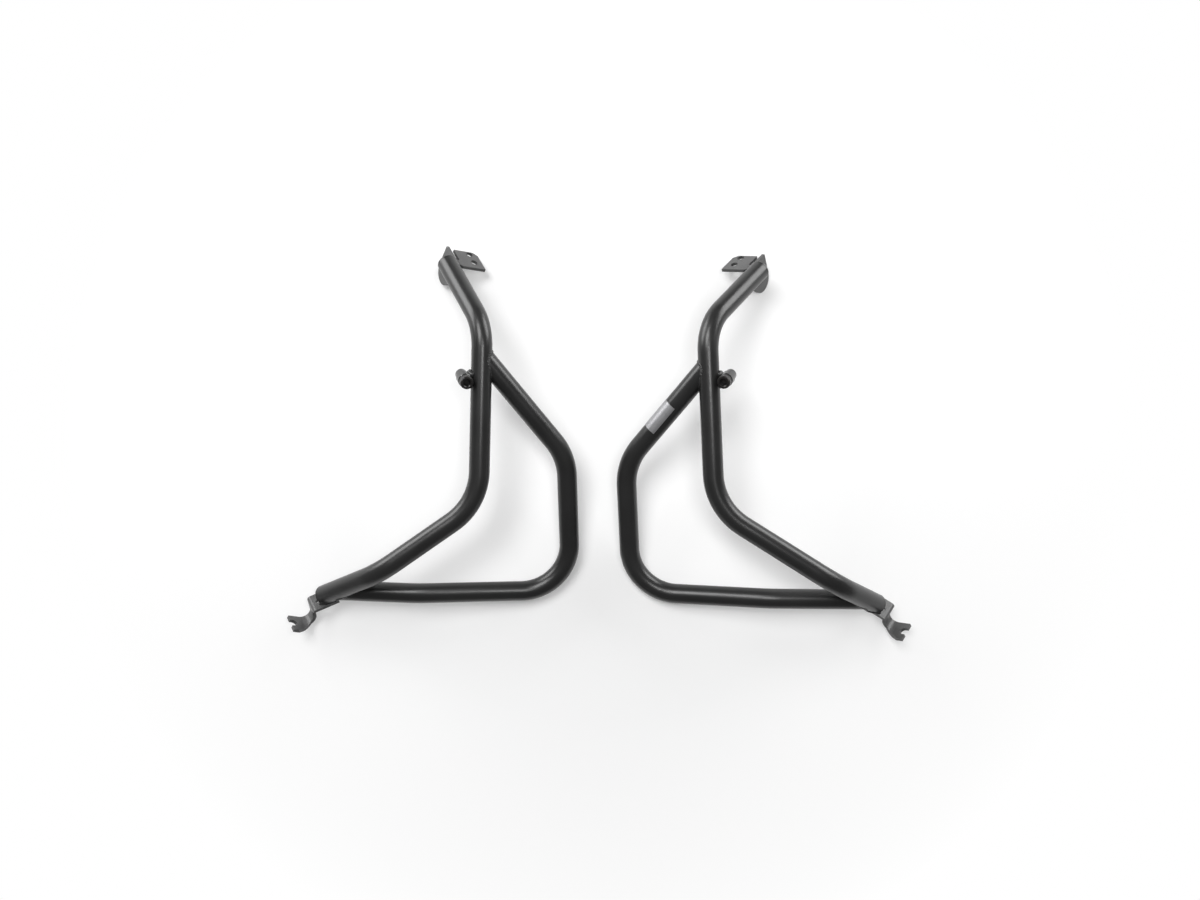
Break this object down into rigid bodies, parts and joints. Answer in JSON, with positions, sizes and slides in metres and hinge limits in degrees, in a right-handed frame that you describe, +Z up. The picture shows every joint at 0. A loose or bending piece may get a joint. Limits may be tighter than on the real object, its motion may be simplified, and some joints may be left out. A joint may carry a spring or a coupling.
{
  "type": "motorcycle crash bars",
  "caption": "Matched left and right motorcycle crash bars of bent black tube, each with a welded side loop, a folded bolt-on plate, a hooked slotted foot and a bolt in a middle bush.",
  "frame": {"origin": "on the ground under the middle of the pair, as the two bars lie flat", "axes": "X across the pair from the left bar to the right bar, Y from the feet towards the top plates, Z up"},
  "size_m": [0.8006, 0.5029, 0.1251],
  "materials": {
    "tube": "satin black powder coat",
    "bracket": "fine textured black powder coat",
    "bush": "satin black powder coat",
    "bolt": "black oxide",
    "weld": "satin black powder coat over the bead"
  },
  "bodies": {
    "root": {"left_main_tube": "tube", "left_loop_tube": "tube", "left_top_cap": "tube", "left_foot_cap": "tube", "left_top_plate": "bracket", "left_foot_strap": "bracket", "left_bolt_bush": "bush", "left_bolt": "bolt", "left_loop_start_weld": "weld", "left_loop_finish_weld": "weld", "left_top_plate_weld": "weld", "left_foot_strap_weld": "weld", "left_bush_weld": "weld", "right_main_tube": "tube", "right_loop_tube": "tube", "right_top_cap": "tube", "right_foot_cap": "tube", "right_top_plate": "bracket", "right_foot_strap": "bracket", "right_bolt_bush": "bush", "right_bolt": "bolt", "right_loop_start_weld": "weld", "right_loop_finish_weld": "weld", "right_top_plate_weld": "weld", "right_foot_strap_weld": "weld", "right_bush_weld": "weld"}
  },
  "joints": []
}
